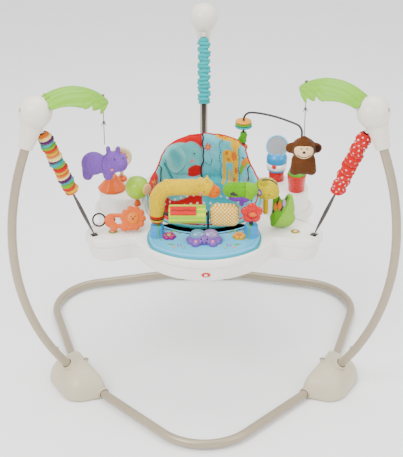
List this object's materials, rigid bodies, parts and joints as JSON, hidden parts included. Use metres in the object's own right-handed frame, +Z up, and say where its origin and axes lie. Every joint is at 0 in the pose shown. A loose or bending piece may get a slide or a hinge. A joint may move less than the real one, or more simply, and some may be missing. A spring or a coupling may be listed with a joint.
{
  "type": "activity jumper",
  "caption": "Baby activity jumper: a three-legged bowed tube frame holding a sprung toy tray with a turning fabric seat, leaf hangers and hanging plush toys.",
  "frame": {"origin": "on the floor, at the middle of the whole object's box", "axes": "+Z up; the child faces -Y; +X is the child's left, which is on the right when seen from the front"},
  "size_m": [0.9372, 1.0114, 0.842],
  "materials": {
    "tube": "satin powder coat",
    "foot_shell": "satin moulded",
    "hub_shell": "satin moulded",
    "leaf_green": "satin moulded",
    "rubber": "matte",
    "steel": "zinc plated",
    "cover_fabric": "gathered cotton",
    "tray_white": "satin moulded",
    "box_white": "matte moulded",
    "webbing": "woven",
    "panel_blue": "satin moulded",
    "cell": "satin",
    "board": "matte",
    "giraffe_yellow": "satin moulded",
    "dark_plastic": "satin moulded",
    "orange_plastic": "satin moulded",
    "red_plastic": "gloss moulded",
    "wire_dark": "plastic dipped",
    "dotted_fabric": "printed woven",
    "crocodile_fabric": "plush",
    "head_fabric": "printed plush",
    "bag_fabric": "woven",
    "hippo_purple": "satin moulded",
    "dome_lilac": "clear tinted",
    "flower_magenta": "satin moulded",
    "flower_amber": "satin moulded",
    "lime_plastic": "gloss moulded",
    "cream_plastic": "satin moulded",
    "lion_orange": "soft vinyl",
    "sky_plastic": "gloss moulded",
    "mirror_glass": "polished",
    "bead_orange": "gloss moulded",
    "bead_green": "gloss moulded",
    "seat_fabric": "printed cotton, padded",
    "cord": "braided",
    "plush_purple": "short plush",
    "plush_brown": "short plush"
  },
  "bodies": {
    "frame": {"foot_left": "foot_shell", "foot_right": "foot_shell", "foot_rear": "foot_shell", "base_tube_front": "tube", "base_tube_left": "tube", "base_tube_right": "tube", "leg_stubs": "tube", "upright_left": "tube", "upright_right": "tube", "upright_rear": "tube", "hub_left": "hub_shell", "hub_right": "hub_shell", "hub_rear": "hub_shell", "leaf_left": "leaf_green", "leaf_right": "leaf_green", "foot_pads": "rubber", "frame_screws": "steel", "coil_springs": "steel", "spring_covers": "cover_fabric"},
    "snap_left": {"snap_button_left": "steel"},
    "snap_right": {"snap_button_right": "steel"},
    "snap_rear": {"snap_button_rear": "steel"},
    "tray": {"tray_shell": "tray_white", "straps": "webbing", "front_panel": "panel_blue", "battery_box": "box_white", "battery_door": "box_white", "batteries": "cell", "electronics": "board", "giraffe_arch": "giraffe_yellow", "drum_axle": "dark_plastic", "disc_base": "orange_plastic", "mirror_base": "red_plastic", "bead_wire": "wire_dark", "dotted_pouch": "dotted_fabric", "crocodile": "crocodile_fabric", "spotted_head": "head_fabric", "leaf_bag": "bag_fabric"},
    "hippo_light": {"hippo_button": "hippo_purple", "hippo_dome": "dome_lilac"},
    "flower_left": {"flower_button_left": "flower_magenta"},
    "flower_right": {"flower_button_right": "flower_amber"},
    "switch": {"power_switch": "dark_plastic"},
    "drum": {"roller_drum": "lime_plastic", "drum_paddle": "red_plastic"},
    "flower": {"flower_spinner": "red_plastic"},
    "ball": {"lime_ball": "lime_plastic"},
    "disc": {"cream_disc": "cream_plastic"},
    "teether": {"lion_teether": "lion_orange", "teether_strap": "webbing"},
    "mirror": {"mirror_housing": "sky_plastic", "mirror_glass": "mirror_glass"},
    "rings": {"ring_beads": "bead_orange"},
    "leaf_bead": {"leaf_bead": "bead_green"},
    "seat": {"seat_ring": "tray_white", "seat_pad": "seat_fabric"},
    "cord_left": {"hang_cord_left": "cord"},
    "hippo": {"hippo_toy": "plush_purple"},
    "cord_right": {"hang_cord_right": "cord"},
    "monkey": {"monkey_toy": "plush_brown"}
  },
  "joints": [
    {"name": "bounce", "type": "slide", "parent": "frame", "child": "tray", "axis": [0, 0, 1], "range_m": [-0.1, 0.03], "stiffness_N_per_m": 1500, "springref_m": 0.026, "deforming": ["coil_springs", "spring_covers"]},
    {"name": "snap_left_press", "type": "slide", "parent": "frame", "child": "snap_left", "axis": [-0.7454, -0.4304, -0.509], "range_m": [0, 0.0025], "stiffness_N_per_m": 900, "springref_m": -0.002},
    {"name": "snap_right_press", "type": "slide", "parent": "frame", "child": "snap_right", "axis": [0.7454, -0.4304, -0.509], "range_m": [0, 0.0025], "stiffness_N_per_m": 900, "springref_m": -0.002},
    {"name": "snap_rear_press", "type": "slide", "parent": "frame", "child": "snap_rear", "axis": [0, 0.8607, -0.509], "range_m": [0, 0.0025], "stiffness_N_per_m": 900, "springref_m": -0.002},
    {"name": "hippo_press", "type": "slide", "parent": "tray", "child": "hippo_light", "axis": [0, 0, -1], "range_m": [0, 0.004], "stiffness_N_per_m": 900, "springref_m": -0.003},
    {"name": "flower_left_press", "type": "slide", "parent": "tray", "child": "flower_left", "axis": [0, 0, -1], "range_m": [0, 0.003], "stiffness_N_per_m": 900, "springref_m": -0.003},
    {"name": "flower_right_press", "type": "slide", "parent": "tray", "child": "flower_right", "axis": [0, 0, -1], "range_m": [0, 0.003], "stiffness_N_per_m": 900, "springref_m": -0.003},
    {"name": "switch_slide", "type": "slide", "parent": "tray", "child": "switch", "axis": [1, 0, 0], "range_m": [-0.004, 0.004]},
    {"name": "drum_spin", "type": "hinge", "parent": "tray", "child": "drum", "pos_m": [-0.043, -0.2177, 0.498], "axis": [1, 0, 0], "continuous": true},
    {"name": "flower_spin", "type": "hinge", "parent": "tray", "child": "flower", "pos_m": [0.115, -0.2237, 0.506], "axis": [0, 1, 0], "continuous": true},
    {"name": "ball_spin", "type": "hinge", "parent": "tray", "child": "ball", "pos_m": [-0.167, -0.1217, 0.521], "axis": [0, 0, 1], "continuous": true},
    {"name": "disc_wobble", "type": "hinge", "parent": "tray", "child": "disc", "pos_m": [-0.214, 0.0183, 0.4863], "axis": [1, 0, 0], "range_deg": [-15, 15], "stiffness_Nm_per_rad": 0.4},
    {"name": "teether_flop", "type": "hinge", "parent": "tray", "child": "teether", "pos_m": [-0.176, -0.1837, 0.428], "axis": [1, 0, 0], "range_deg": [0, 46]},
    {"name": "mirror_spin", "type": "hinge", "parent": "tray", "child": "mirror", "pos_m": [0.188, 0.0223, 0.502], "axis": [0, 0, 1], "continuous": true},
    {"name": "rings_spin", "type": "hinge", "parent": "tray", "child": "rings", "pos_m": [0.104, 0.1163, 0.59], "axis": [0, 0, 1], "continuous": true},
    {"name": "leaf_bead_slide", "type": "slide", "parent": "tray", "child": "leaf_bead", "axis": [0, 0, 1], "range_m": [0, 0.009]},
    {"name": "seat_turn", "type": "hinge", "parent": "tray", "child": "seat", "pos_m": [0, -0.0337, 0.424], "axis": [0, 0, 1], "continuous": true},
    {"name": "hippo_swing", "type": "hinge", "parent": "frame", "child": "cord_left", "pos_m": [-0.23902, -0.1717, 0.783], "axis": [0, 1, 0], "range_deg": [-15, 15]},
    {"name": "hippo_nod", "type": "hinge", "parent": "cord_left", "child": "hippo", "pos_m": [-0.23902, -0.1717, 0.662], "axis": [1, 0, 0], "range_deg": [-20, 20]},
    {"name": "monkey_swing", "type": "hinge", "parent": "frame", "child": "cord_right", "pos_m": [0.23902, -0.1717, 0.818], "axis": [0, 1, 0], "range_deg": [-15, 15]},
    {"name": "monkey_nod", "type": "hinge", "parent": "cord_right", "child": "monkey", "pos_m": [0.23902, -0.1717, 0.682], "axis": [1, 0, 0], "range_deg": [-20, 20]}
  ]
}
